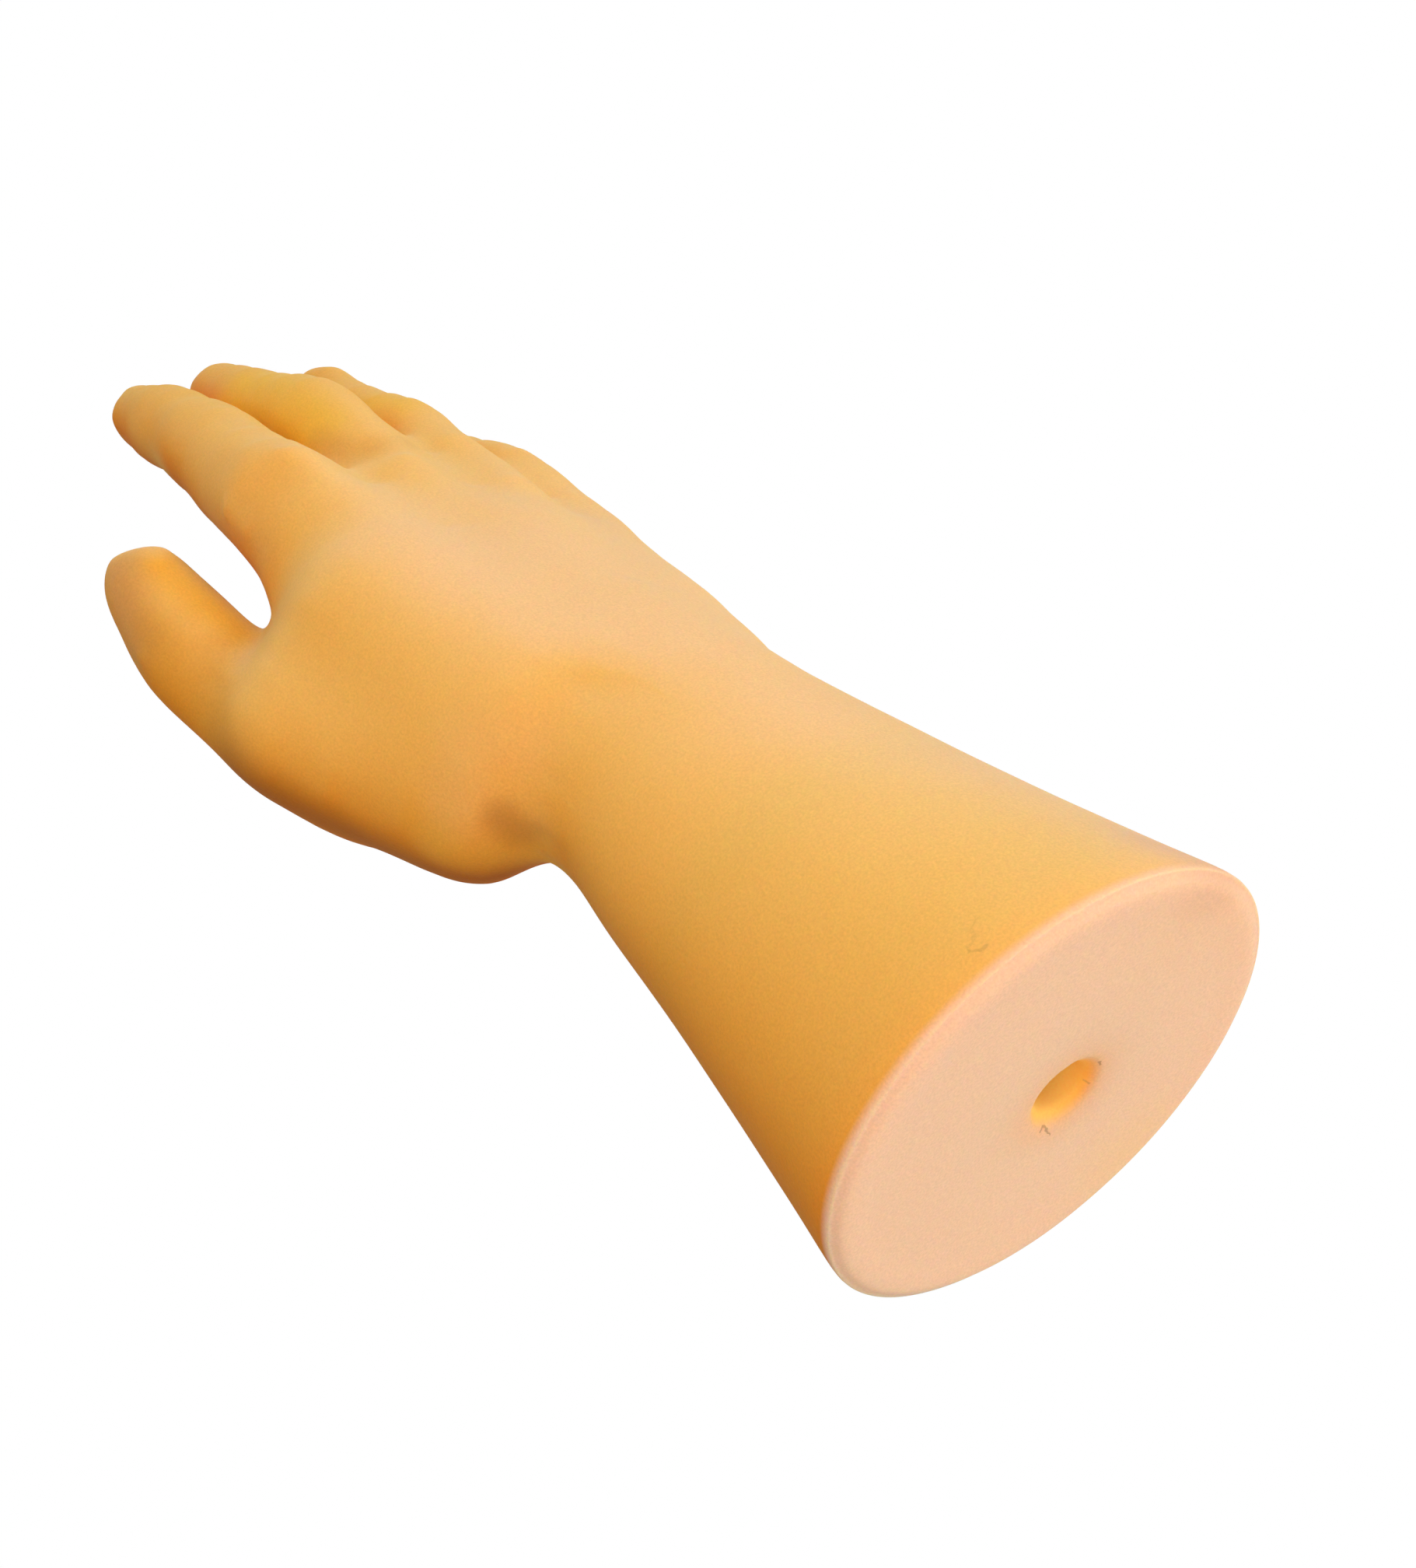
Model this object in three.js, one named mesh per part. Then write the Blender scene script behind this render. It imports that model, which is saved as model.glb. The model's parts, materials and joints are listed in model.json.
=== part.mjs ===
// Display hand for rings and bracelets: a right hand with straight fingers held close together,
// on a forearm that widens to a round foot. It is one hollow moulding of soft vinyl, with a vent
// hole in the middle of the foot, where the mould was filled and the part was drawn out.
//
// Millimetres. +Z runs up the forearm to the fingertips, -Y is the back of the hand, +Y the palm,
// -X the thumb side and +X the little finger side. The moulding is drawn from the centre of its
// foot and then centred, so the origin is the middle of its length and width, on the surface that
// the foot stands on.

import * as THREE from 'three';

// The moulding's wall
const wallThickness = 2.4;

// Foot: a rounded outer edge, a narrow flat ring to stand on and a panel set up inside it
const footDiameter = 77.5;
const footEdgeRadius = 2.4;
const footRingWidth = 2.6;
const panelRecess = 1;
const panelSlopeWidth = 2.4;
const panelDish = 0.6;

// Vent in the panel: a lip rolled inwards, and behind it a neck that stands up inside the foot
const ventDiameter = 11.5;
const ventLipRadius = 2.4;
const ventNeckLength = 6;
const ventNeckWall = 1.7;
const ventX = 4.5;
const ventY = 2.5;

// Corner between the floor inside the foot and the forearm's lining
const floorCornerRadius = 4.8;

// Forearm: an oval that narrows from the foot to the wrist along a hollow curve, and fades out
// inside the palm
const wristHeight = 82.1;
const wristWidth = 53;
const wristDepth = 42.6;
const wristShiftX = -6.1;
const wristShiftY = 1.3;
const forearmHollow = 0.06;
const wristFade = 36;
const wristBlend = 3.4;

// Palm: four rays run from the wrist bones to the webs between the fingers. Here and below, a
// blend is the width over which two forms run into each other.
const carpalSpread = 25.1;
const carpalDiameter = 30.3;
const carpalPlace = [0, -0.1, 14];
const webReach = 21.1;
const webDrop = 1.8;
const webDiameter = 16.2;
const palmBlend = 9;

// Fingers, from the thumb side to the little finger side. The knuckle is placed from the wrist's
// centre: across, towards the palm, and up. Bones, joint diameters and bends run from the knuckle
// to the tip, waists are how far each bone thins between its joints, and lean is the angle
// towards the little finger.
const fingers = {
  index: {
    knuckle: [-26.6, -1.4, 81.3],
    bones: [36.6, 20.8, 16.8],
    diameters: [20.1, 18.4, 16.5, 12.3],
    bends: [13.9, 4, 3.7],
    lean: 6.4,
  },
  middle: {
    knuckle: [-4.8, 0.3, 73.7],
    bones: [40.8, 24.7, 15.6],
    diameters: [18.6, 16.7, 15.5, 13.9],
    bends: [2.5, 19.9, -1.8],
    lean: 2.3,
  },
  ring: {
    knuckle: [11.5, 0.7, 71.8],
    bones: [38.6, 23.9, 14.1],
    diameters: [17.3, 15.8, 14.8, 13.9],
    bends: [6.6, 12.1, -4],
    lean: 4.6,
  },
  little: {
    knuckle: [27.9, 5.8, 65.1],
    bones: [32.4, 20.2, 15.2],
    diameters: [15.4, 14.3, 11.7, 12],
    bends: [4.3, 14.7, -6.6],
    lean: 3.5,
  },
};
const fingerWaists = [0.91, 0.93, 1];
const fingerFlatness = 0.95;
const fingerBlend = 4.2;
const creaseBlend = 1.2;

// Thumb: its joints from the wrist's centre, root to tip, and the direction in which it is widest
const thumbJoints = [
  [-18.8, 0.1, 8.5],
  [-38.4, 20.8, 42.7],
  [-46.5, 17.3, 68.7],
  [-49.8, 12.4, 82.5],
];
const thumbDiameters = [23.2, 19.5, 20.9, 15.7];
const thumbWaists = [0.94, 0.94, 1];
const thumbFlatness = 0.92;
const thumbAcross = [0.8, 0.5, 0.3];
const thumbBlend = 4.4;

// Flesh of the palm: the web and the muscle between thumb and index, the base of the thumb, its
// ball in two pads, the heel under the little finger, the hollow of the palm and the cushion along
// the roots of the fingers. A pad may be wider one way than the other.
const fleshPads = {
  thumbWeb: { from: [-40, 15.8, 46.3], to: [-25.6, 5, 69], diameters: [10.5, 13.1] },
  webMuscle: { from: [-21.4, -0.7, 15.1], to: [-30.6, -0.1, 47.1], diameters: [25.1, 22.4] },
  thumbBase: { from: [-25.2, 11, 14.7], to: [-40.2, 16.4, 45.5], diameters: [26.2, 22.2] },
  thumbBall: {
    from: [-18.5, 10.9, 23.1],
    to: [-27.7, 18.3, 41.7],
    diameters: [35.3, 33.5],
    across: [0.44, -0.78, 0.44],
    flatness: 0.62,
  },
  innerBall: { from: [-9.7, 10.5, 20.5], to: [-21.5, 11.3, 44.1], diameters: [23.8, 19.8] },
  palmHeel: { from: [13.3, 5, 14.2], to: [18, 7.7, 55.3], diameters: [27.6, 17.2] },
  palmHollow: { from: [-3, 0, 32], to: [3, 1.5, 56], diameters: [22, 18] },
  rootCushion: { from: [-18, 3.5, 66], to: [21, 8, 58], diameters: [15.5, 14] },
};
const fleshBlend = 11;

// How finely the surfaces are faceted. The forearm is made of rings and the hand of a lattice,
// which starts a little below the wrist.
const outerFacet = 3.5;
const innerFacet = 6.4;
const outerSides = 48;
const innerSides = 28;
const outerBands = 9;
const innerBands = 6;
const arcSteps = 3;
const latticeBelowWrist = 6;
const relaxRounds = 3;

const wristCentre = new THREE.Vector3(wristShiftX, wristShiftY, wristHeight);

function fromWrist([x, y, z]) {
  return new THREE.Vector3(x, y, z).add(wristCentre);
}

// The parts of the hand are swept spheres: a centre line and a radius at each of its points.
// across is the direction in which a digit is wider than it is deep.

function sweptLine(points, radii, across = null, flatness = 1) {
  const steps = [];
  for (let i = 0; i + 1 < points.length; i += 1) {
    const span = points[i + 1].clone().sub(points[i]);
    const gain = radii[i + 1] - radii[i];
    steps.push({ start: points[i], span, length2: span.lengthSq(), radius: radii[i], gain });
  }
  return { steps, across, flatness, points, radii };
}

const offset = new THREE.Vector3();

function distanceToSwept(p, line) {
  let nearest = Infinity;
  for (const step of line.steps) {
    offset.copy(p).sub(step.start);
    const along = THREE.MathUtils.clamp(offset.dot(step.span) / step.length2, 0, 1);
    offset.addScaledVector(step.span, -along);
    let reach = offset.length();
    if (line.across) {
      const wide = offset.dot(line.across);
      const deep2 = Math.max(reach * reach - wide * wide, 0);
      reach = Math.sqrt(wide * wide + deep2 / line.flatness ** 2);
    }
    nearest = Math.min(nearest, reach - step.radius - along * step.gain);
  }
  return nearest;
}

// Joins two distances with a fillet about as wide as the blend
function blend(a, b, width) {
  const near = Math.max(width - Math.abs(a - b), 0) / width;
  return Math.min(a, b) - near * near * width * 0.25;
}

// A digit's centre line is a smooth curve through its joints, and its radius dips between them
function digitLine(joints, diameters, waists, across, flatness) {
  const samplesPerBone = 5;
  const curve = new THREE.CatmullRomCurve3(joints, false, 'centripetal');
  const girth = [];
  diameters.forEach((diameter, i) => {
    if (i > 0) {
      const middle = (diameter + diameters[i - 1]) / 2;
      girth.push(new THREE.Vector2(2 * i - 1, (waists[i - 1] * middle) / 2));
    }
    girth.push(new THREE.Vector2(2 * i, diameter / 2));
  });
  const radiusCurve = new THREE.SplineCurve(girth);
  const count = samplesPerBone * (joints.length - 1);
  const points = [];
  const radii = [];
  for (let i = 0; i <= count; i += 1) {
    points.push(curve.getPoint(i / count));
    radii.push(radiusCurve.getPoint(i / count).y);
  }
  return sweptLine(points, radii, across, flatness);
}

function fingerLine(finger) {
  const lean = THREE.MathUtils.degToRad(finger.lean);
  const joints = [fromWrist(finger.knuckle)];
  let bend = 0;
  finger.bones.forEach((bone, i) => {
    bend += THREE.MathUtils.degToRad(finger.bends[i]);
    const forward = new THREE.Vector3(Math.sin(lean), Math.tan(bend), Math.cos(lean)).normalize();
    joints.push(joints[i].clone().addScaledVector(forward, bone));
  });
  const across = new THREE.Vector3(Math.cos(lean), 0, -Math.sin(lean));
  const line = digitLine(joints, finger.diameters, fingerWaists, across, fingerFlatness);
  return { ...line, forward: joints[1].clone().sub(joints[0]) };
}

const fingerLines = Object.values(fingers).map(fingerLine);
const thumbLine = digitLine(
  thumbJoints.map(fromWrist),
  thumbDiameters,
  thumbWaists,
  new THREE.Vector3(...thumbAcross).normalize(),
  thumbFlatness,
);

// Each ray ends past its knuckle, along the finger, where the web between the fingers ends
const palmRays = fingerLines.map((line, i) => {
  const knuckle = line.points[0];
  const share = i / (fingerLines.length - 1) - 0.5;
  const carpal = fromWrist(carpalPlace).add(new THREE.Vector3(share * carpalSpread, 0, 0));
  const forward = line.forward.clone().setLength(webReach);
  const web = knuckle.clone().add(forward).add(new THREE.Vector3(0, webDrop, 0));
  return sweptLine([carpal, knuckle, web], [carpalDiameter / 2, line.radii[0], webDiameter / 2]);
});

function padLine({ from, to, diameters, across, flatness }) {
  const radii = diameters.map((diameter) => diameter / 2);
  const wide = across && new THREE.Vector3(...across).normalize();
  return sweptLine([fromWrist(from), fromWrist(to)], radii, wide, flatness);
}

const fleshLines = Object.values(fleshPads).map(padLine);

// The forearm's oval at a height: its centre and half widths. Above the wrist it closes like the
// end of an egg.
function forearmOval(height) {
  const rise = THREE.MathUtils.clamp(height / wristHeight, 0, 1);
  const drawn = rise + forearmHollow * Math.sin(Math.PI * rise);
  const leastFade = 0.2;
  const faded = THREE.MathUtils.clamp((height - wristHeight) / wristFade, 0, 1);
  const fade = Math.max(Math.sqrt(1 - faded ** 2), leastFade);
  const footRadius = footDiameter / 2;
  return {
    x: wristShiftX * rise,
    y: wristShiftY * rise,
    halfWidth: fade * THREE.MathUtils.lerp(footRadius, wristWidth / 2, drawn),
    halfDepth: fade * THREE.MathUtils.lerp(footRadius, wristDepth / 2, drawn),
  };
}

function distanceToForearm(p) {
  const oval = forearmOval(p.z);
  const x = (p.x - oval.x) / oval.halfWidth;
  const y = (p.y - oval.y) / oval.halfDepth;
  const ratio = Math.hypot(x, y);
  const slope = Math.hypot(x / oval.halfWidth, y / oval.halfDepth);
  const side = ratio > 0.01 ? (ratio * (ratio - 1)) / slope : -oval.halfDepth;
  const top = p.z - wristHeight - wristFade;
  return Math.max(side, top);
}

// Distance to the outer skin: negative inside the hand
function skin(p) {
  let palm = Infinity;
  for (const ray of palmRays) palm = blend(palm, distanceToSwept(p, ray), palmBlend);
  for (const pad of fleshLines) palm = blend(palm, distanceToSwept(p, pad), fleshBlend);
  const arm = blend(palm, distanceToForearm(p), wristBlend);
  const withThumb = blend(arm, distanceToSwept(p, thumbLine), thumbBlend);
  let digits = Infinity;
  for (const line of fingerLines) digits = blend(digits, distanceToSwept(p, line), creaseBlend);
  return blend(withThumb, digits, fingerBlend);
}

function lining(p) {
  return skin(p) + wallThickness;
}

// A lattice of columns that fan out with the fingers. One column boundary lies in the middle of
// every gap, so a gap narrower than a facet still stays open.

// Where a finger's centre line crosses a height
function crossingX(line, height) {
  const { points } = line;
  if (height <= points[0].z) return points[0].x;
  for (let i = 1; i < points.length; i += 1) {
    if (points[i].z >= height) {
      const share = (height - points[i - 1].z) / (points[i].z - points[i - 1].z);
      return THREE.MathUtils.lerp(points[i - 1].x, points[i].x, share);
    }
  }
  return points.at(-1).x;
}

// The boundaries of the lanes, one lane to a finger. At the wrist the lanes share its width.
function laneEdges(height) {
  const knuckleHeight = fingerLines[0].points[0].z;
  const rise = THREE.MathUtils.clamp((height - wristHeight) / (knuckleHeight - wristHeight), 0, 1);
  const centres = fingerLines.map((line, i) => {
    const share = (i + 0.5) / fingerLines.length - 0.5;
    const low = wristShiftX + share * wristWidth;
    return THREE.MathUtils.lerp(low, crossingX(line, height), rise);
  });
  const middles = centres.slice(1).map((centre, i) => (centre + centres[i]) / 2);
  const first = 2 * centres[0] - middles[0];
  const last = 2 * centres.at(-1) - middles.at(-1);
  return [first, ...middles, last];
}

// The lattice runs from where the forearm's rings end to past the fingertips
const latticeFloor = wristHeight - latticeBelowWrist;

function buildLattice(facet) {
  const reach = new THREE.Box3();
  for (const line of [...fingerLines, thumbLine, ...fleshLines, ...palmRays]) {
    line.points.forEach((point, i) => {
      reach.expandByPoint(point.clone().addScalar(line.radii[i]));
      reach.expandByPoint(point.clone().addScalar(-line.radii[i]));
    });
  }
  reach.expandByScalar(facet);
  const lanes = fingerLines.length;
  const knuckleEdges = laneEdges(fingerLines[0].points[0].z);
  const perLane = Math.max(Math.round((knuckleEdges[lanes] - knuckleEdges[0]) / lanes / facet), 2);
  const thumbColumns = Math.ceil((knuckleEdges[0] - reach.min.x) / facet) + 1;
  const spareColumns = 3;
  const layers = Math.ceil((reach.max.z - latticeFloor) / facet);
  const columnX = (i, edges) => {
    const lane = (i - thumbColumns) / perLane;
    if (lane <= 0) return edges[0] + (i - thumbColumns) * facet;
    if (lane >= lanes) return edges[lanes] + (i - thumbColumns - lanes * perLane) * facet;
    const whole = Math.floor(lane);
    return THREE.MathUtils.lerp(edges[whole], edges[whole + 1], lane - whole);
  };
  return {
    columns: thumbColumns + lanes * perLane + spareColumns,
    rows: Math.ceil((reach.max.y - reach.min.y) / facet),
    layers,
    node: (i, j, k) => {
      const z = latticeFloor + (k * (reach.max.z - latticeFloor)) / layers;
      return new THREE.Vector3(columnX(i, laneEdges(z)), reach.min.y + j * facet, z);
    },
  };
}

// One lattice cell: corners are numbered by their x, y and z bits, and faces list their corners
// in order round the face
const cellEdges = [];
for (let corner = 0; corner < 8; corner += 1) {
  for (const bit of [1, 2, 4]) {
    if (!(corner & bit)) cellEdges.push([corner, corner | bit]);
  }
}
const edgeNumber = new Map(cellEdges.map(([a, b], i) => [a * 8 + b, i]));
const cellFaces = [];
for (const [fixed, u, v] of [[1, 2, 4], [2, 4, 1], [4, 1, 2]]) {
  for (const base of [0, fixed]) cellFaces.push([base, base + u, base + u + v, base + v]);
}

// Groups the crossed edges of a cell into separate sheets of surface, so that two sheets that pass
// through one cell, as they do beside a gap between fingers, never share a point
function cellSheets(inside) {
  const sheet = cellEdges.map(([a, b], i) => (inside[a] !== inside[b] ? i : -1));
  const root = (i) => (sheet[i] === i ? i : root(sheet[i]));
  const join = (i, j) => {
    sheet[root(i)] = root(j);
  };
  for (const face of cellFaces) {
    const rim = face.map((corner, n) => {
      const next = face[(n + 1) % 4];
      return edgeNumber.get(Math.min(corner, next) * 8 + Math.max(corner, next));
    });
    const crossed = rim.filter((i) => sheet[i] >= 0);
    if (crossed.length === 2) join(crossed[0], crossed[1]);
    if (crossed.length === 4) {
      face.forEach((corner, n) => {
        if (inside[corner]) join(rim[n], rim[(n + 3) % 4]);
      });
    }
  }
  return sheet.map((value, i) => (value >= 0 ? root(i) : -1));
}

// Meshes the zero surface of a field over a lattice with quads, open at the lattice's floor.
// Only the body that reaches the floor is kept.
function contour(field, lattice) {
  const { columns, rows, layers, node } = lattice;
  const across = columns + 1;
  const deep = rows + 1;
  const index = (i, j, k) => i + across * (j + deep * k);
  const steps = [1, across, across * deep];
  const places = [];
  const values = [];
  for (let k = 0; k <= layers; k += 1) {
    for (let j = 0; j <= rows; j += 1) {
      for (let i = 0; i <= columns; i += 1) {
        places.push(node(i, j, k));
        values.push(field(places.at(-1)));
      }
    }
  }

  const kept = new Uint8Array(values.length);
  const queue = [];
  for (let n = 0; n < across * deep; n += 1) if (values[n] < 0) queue.push(n);
  while (queue.length > 0) {
    const n = queue.pop();
    if (kept[n]) continue;
    kept[n] = 1;
    for (const step of steps) {
      if (values[n + step] < 0) queue.push(n + step);
      if (values[n - step] < 0) queue.push(n - step);
    }
  }

  const points = [];
  const cellPoints = new Map();
  const corners = [0, 1, 2, 3, 4, 5, 6, 7].map(
    (c) => (c & 1) * steps[0] + ((c >> 1) & 1) * steps[1] + (c >> 2) * steps[2],
  );
  for (let k = 0; k < layers; k += 1) {
    for (let j = 0; j < rows; j += 1) {
      for (let i = 0; i < columns; i += 1) {
        const cell = index(i, j, k);
        const inside = corners.map((corner) => kept[cell + corner]);
        const count = inside.reduce((a, b) => a + b, 0);
        if (count === 0 || count === 8) continue;
        const sheets = cellSheets(inside);
        for (const sheet of new Set(sheets.filter((value) => value >= 0))) {
          const centre = new THREE.Vector3();
          let crossings = 0;
          sheets.forEach((value, e) => {
            if (value !== sheet) return;
            const [a, b] = cellEdges[e].map((corner) => cell + corners[corner]);
            centre.add(places[a].clone().lerp(places[b], values[a] / (values[a] - values[b])));
            crossings += 1;
            cellPoints.set(cell * 12 + e, points.length);
          });
          points.push(centre.divideScalar(crossings));
        }
      }
    }
  }

  const quads = [];
  const limits = [columns, rows, layers];
  for (let k = 0; k <= layers; k += 1) {
    for (let j = 0; j <= rows; j += 1) {
      for (let i = 0; i <= columns; i += 1) {
        const here = index(i, j, k);
        const at = [i, j, k];
        for (let axis = 0; axis < 3; axis += 1) {
          const u = (axis + 1) % 3;
          const v = (axis + 2) % 3;
          if (at[axis] >= limits[axis] || kept[here] === kept[here + steps[axis]]) continue;
          if (at[u] < 1 || at[v] < 1 || at[u] >= limits[u] || at[v] >= limits[v]) continue;
          const quad = [[0, 0], [1, 0], [1, 1], [0, 1]].map(([du, dv]) => {
            const cell = here - du * steps[u] - dv * steps[v];
            const low = (du << u) + (dv << v);
            return cellPoints.get(cell * 12 + edgeNumber.get(low * 8 + low + (1 << axis)));
          });
          quads.push(kept[here] ? quad : quad.reverse());
        }
      }
    }
  }
  return { points, quads };
}

// Moves a point onto a field's zero surface; level keeps its height
function settle(point, field, level) {
  const probe = 0.05;
  const rounds = 3;
  const leastSlope = 0.2;
  const axes = level ? ['x', 'y'] : ['x', 'y', 'z'];
  for (let round = 0; round < rounds; round += 1) {
    const value = field(point);
    const slope = new THREE.Vector3();
    for (const axis of axes) {
      point[axis] += probe;
      slope[axis] = (field(point) - value) / probe;
      point[axis] -= probe;
    }
    point.addScaledVector(slope, -value / Math.max(slope.lengthSq(), leastSlope));
  }
}

// The points round the open edge of a quad mesh, in order
function openLoop({ quads }) {
  const sides = quads.flatMap((quad) => quad.map((a, n) => [a, quad[(n + 1) % 4]]));
  const used = new Set(sides.map(([a, b]) => `${a},${b}`));
  const next = new Map(sides.filter(([a, b]) => !used.has(`${b},${a}`)));
  const [start] = next.keys();
  const loop = [start];
  while (next.get(loop.at(-1)) !== start) loop.push(next.get(loop.at(-1)));
  return loop;
}

// Evens out a contour's facets while they stay on the surface
function relax(mesh, field, rimHeight) {
  const { points, quads } = mesh;
  const rim = new Set(openLoop(mesh));
  for (const n of rim) points[n].z = rimHeight;
  const neighbours = points.map(() => new Set());
  for (const quad of quads) {
    quad.forEach((a, n) => {
      neighbours[a].add(quad[(n + 1) % 4]);
      neighbours[quad[(n + 1) % 4]].add(a);
    });
  }
  points.forEach((point, n) => settle(point, field, rim.has(n)));
  for (let round = 0; round < relaxRounds; round += 1) {
    const means = points.map((point, n) => {
      const near = [...neighbours[n]].filter((m) => !rim.has(n) || rim.has(m));
      const mean = new THREE.Vector3();
      for (const m of near) mean.add(points[m]);
      return mean.divideScalar(near.length);
    });
    points.forEach((point, n) => {
      point.lerp(means[n], 0.5);
      settle(point, field, rim.has(n));
    });
  }
}

// Collects the moulding's points and triangles
const vertices = [];
const triangles = [];

function addPoints(points) {
  return points.map((point) => vertices.push(point) - 1);
}

// Adds a hand surface above the wrist and returns its open edge, counter-clockwise from above
function addContour(field, facet, facesIn) {
  const lattice = buildLattice(facet);
  const mesh = contour(field, lattice);
  const rimHeight = (lattice.node(0, 0, 0).z + lattice.node(0, 0, 1).z) / 2;
  relax(mesh, field, rimHeight);
  const numbers = addPoints(mesh.points);
  for (const quad of mesh.quads) {
    const [a, b, c, d] = (facesIn ? [...quad].reverse() : quad).map((n) => numbers[n]);
    const shortFirst = vertices[a].distanceTo(vertices[c]) < vertices[b].distanceTo(vertices[d]);
    if (shortFirst) triangles.push([a, b, c], [a, c, d]);
    else triangles.push([a, b, d], [b, c, d]);
  }
  return openLoop(mesh).map((n) => numbers[n]);
}

// A closed ring of points round the forearm at a height. Each starts on the oval and is settled
// on the field's surface.
function ringOnField(field, height, sides) {
  const oval = forearmOval(height);
  return Array.from({ length: sides }, (_, n) => {
    const turn = (2 * Math.PI * n) / sides;
    const x = oval.x + oval.halfWidth * Math.cos(turn);
    const y = oval.y + oval.halfDepth * Math.sin(turn);
    const point = new THREE.Vector3(x, y, height);
    settle(point, field, true);
    return point;
  });
}

// The same ring drawn in towards the foot's centre, at another height
function ringInset(ring, inset, height) {
  return ring.map((point) => {
    const radius = Math.hypot(point.x, point.y);
    const share = (radius - inset) / radius;
    return new THREE.Vector3(point.x * share, point.y * share, height);
  });
}

// A round ring of the panel. shift is how far it lies from the foot's centre towards the vent's.
function panelRing(radius, height, shift) {
  return Array.from({ length: innerSides }, (_, n) => {
    const turn = (2 * Math.PI * n) / innerSides;
    const x = shift * ventX + radius * Math.cos(turn);
    const y = shift * ventY + radius * Math.sin(turn);
    return new THREE.Vector3(x, y, height);
  });
}

// Fills the band between two closed loops of any counts. Both run the same way round, and the
// band faces out of the wall when the first loop is the one above it.
function stitch(first, second) {
  const middle = new THREE.Vector3();
  for (const n of first) middle.add(vertices[n]);
  middle.divideScalar(first.length);
  const turnOf = (n) => Math.atan2(vertices[n].y - middle.y, vertices[n].x - middle.x);
  const arrange = (loop) => {
    const ordered = loop.map((n) => ({ n, turn: turnOf(n) })).sort((a, b) => a.turn - b.turn);
    return [...ordered, { n: ordered[0].n, turn: ordered[0].turn + 2 * Math.PI }];
  };
  const a = arrange(first);
  const b = arrange(second);
  let i = 0;
  let j = 0;
  while (i + 1 < a.length || j + 1 < b.length) {
    const firstTurn = i + 1 < a.length ? a[i].turn + a[i + 1].turn : Infinity;
    const secondTurn = j + 1 < b.length ? b[j].turn + b[j + 1].turn : Infinity;
    if (firstTurn < secondTurn) {
      triangles.push([a[i].n, b[j].n, a[i + 1].n]);
      i += 1;
    } else {
      triangles.push([a[i].n, b[j].n, b[j + 1].n]);
      j += 1;
    }
  }
}

// Rings from the wrist down the outside, round the foot, through the vent and up the inside
function forearmRings() {
  const rings = [];
  for (let i = 0; i <= outerBands; i += 1) {
    const height = THREE.MathUtils.lerp(latticeFloor - outerFacet, footEdgeRadius, i / outerBands);
    rings.push(ringOnField(skin, height, outerSides));
  }
  const edge = rings.at(-1);
  for (let i = 1; i <= arcSteps; i += 1) {
    const turn = (Math.PI / 2) * (i / arcSteps);
    const inset = footEdgeRadius * (1 - Math.cos(turn));
    rings.push(ringInset(edge, inset, footEdgeRadius * (1 - Math.sin(turn))));
  }
  const standing = footEdgeRadius + footRingWidth;
  rings.push(ringInset(edge, standing, 0));
  rings.push(ringInset(edge, standing + panelSlopeWidth / 2, panelRecess / 2));
  rings.push(ringInset(edge, standing + panelSlopeWidth, panelRecess));

  // The panel is dished, and its lip turns up into the vent's neck
  const panelRadius = footDiameter / 2 - standing - panelSlopeWidth;
  const panelHeight = (radius) => panelRecess + panelDish * (1 - (radius / panelRadius) ** 2);
  const ventRadius = ventDiameter / 2;
  const lipRadius = ventRadius + ventLipRadius;
  const middleRadius = (panelRadius + lipRadius) / 2;
  rings.push(panelRing(middleRadius, panelHeight(middleRadius), 0.5));
  const lipHeight = panelHeight(lipRadius);
  for (let i = 0; i <= arcSteps; i += 1) {
    const turn = (Math.PI / 2) * (i / arcSteps);
    const radius = lipRadius - ventLipRadius * Math.sin(turn);
    rings.push(panelRing(radius, lipHeight + ventLipRadius * (1 - Math.cos(turn)), 1));
  }
  const neckTop = lipHeight + ventLipRadius + ventNeckLength;
  const neckRadius = ventRadius + ventNeckWall;
  rings.push(panelRing(ventRadius, neckTop - ventNeckLength / 2, 1));
  rings.push(panelRing(ventRadius, neckTop, 1));
  rings.push(panelRing(neckRadius, neckTop, 1));

  // The floor inside runs from the neck to a rounded corner with the forearm's lining
  const floorHeight = lipHeight + wallThickness;
  const cornerHeight = floorHeight + floorCornerRadius;
  const corner = ringOnField(lining, cornerHeight, innerSides);
  rings.push(panelRing(neckRadius, floorHeight, 1));
  rings.push(panelRing(middleRadius, floorHeight, 0.5));
  for (let i = 0; i < arcSteps; i += 1) {
    const turn = (Math.PI / 2) * (i / arcSteps);
    const inset = floorCornerRadius * (1 - Math.sin(turn));
    rings.push(ringInset(corner, inset, cornerHeight - floorCornerRadius * Math.cos(turn)));
  }
  for (let i = 0; i <= innerBands; i += 1) {
    const height = THREE.MathUtils.lerp(cornerHeight, latticeFloor - innerFacet, i / innerBands);
    rings.push(ringOnField(lining, height, innerSides));
  }
  return rings;
}

function moulding() {
  const loops = forearmRings().map(addPoints);
  loops.unshift(addContour(skin, outerFacet, false));
  loops.push(addContour(lining, innerFacet, true));
  for (let i = 0; i + 1 < loops.length; i += 1) stitch(loops[i], loops[i + 1]);
  const positions = vertices.flatMap((point) => point.toArray());
  const geometry = new THREE.BufferGeometry();
  geometry.setAttribute('position', new THREE.Float32BufferAttribute(positions, 3));
  geometry.setIndex(triangles.flat());
  geometry.computeVertexNormals();
  return geometry;
}

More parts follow.
